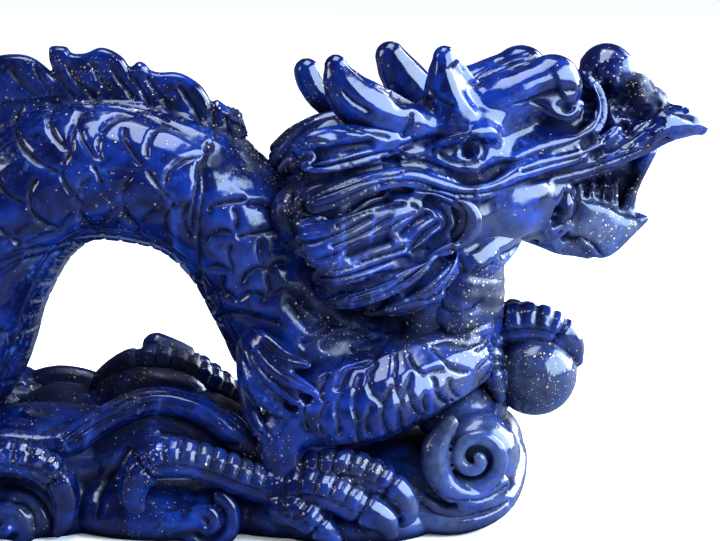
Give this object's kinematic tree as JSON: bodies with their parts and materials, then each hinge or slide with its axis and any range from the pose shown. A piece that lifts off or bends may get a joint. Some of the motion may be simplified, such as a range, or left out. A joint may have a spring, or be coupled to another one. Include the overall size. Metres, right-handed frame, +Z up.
{
  "type": "carved lapis lazuli dragon",
  "caption": "Polished lapis lazuli carving of a traditional dragon with a pearl under its raised claws, its arched scaly body standing on a bank of scrolled clouds.",
  "frame": {"origin": "on the flat sawn underside, under the middle of the arched body", "axes": "+X along the carving towards the dragon's head, +Z up, -Y towards the side with the raised cloud scroll"},
  "size_m": [0.2679, 0.0766, 0.1136],
  "materials": {
    "lapis_lazuli": "polished stone, deep ultramarine with grey-blue patches and brass-gold pyrite flecks, dull in the carved recesses"
  },
  "bodies": {
    "root": {"dragon_carving": "lapis_lazuli"}
  },
  "joints": []
}
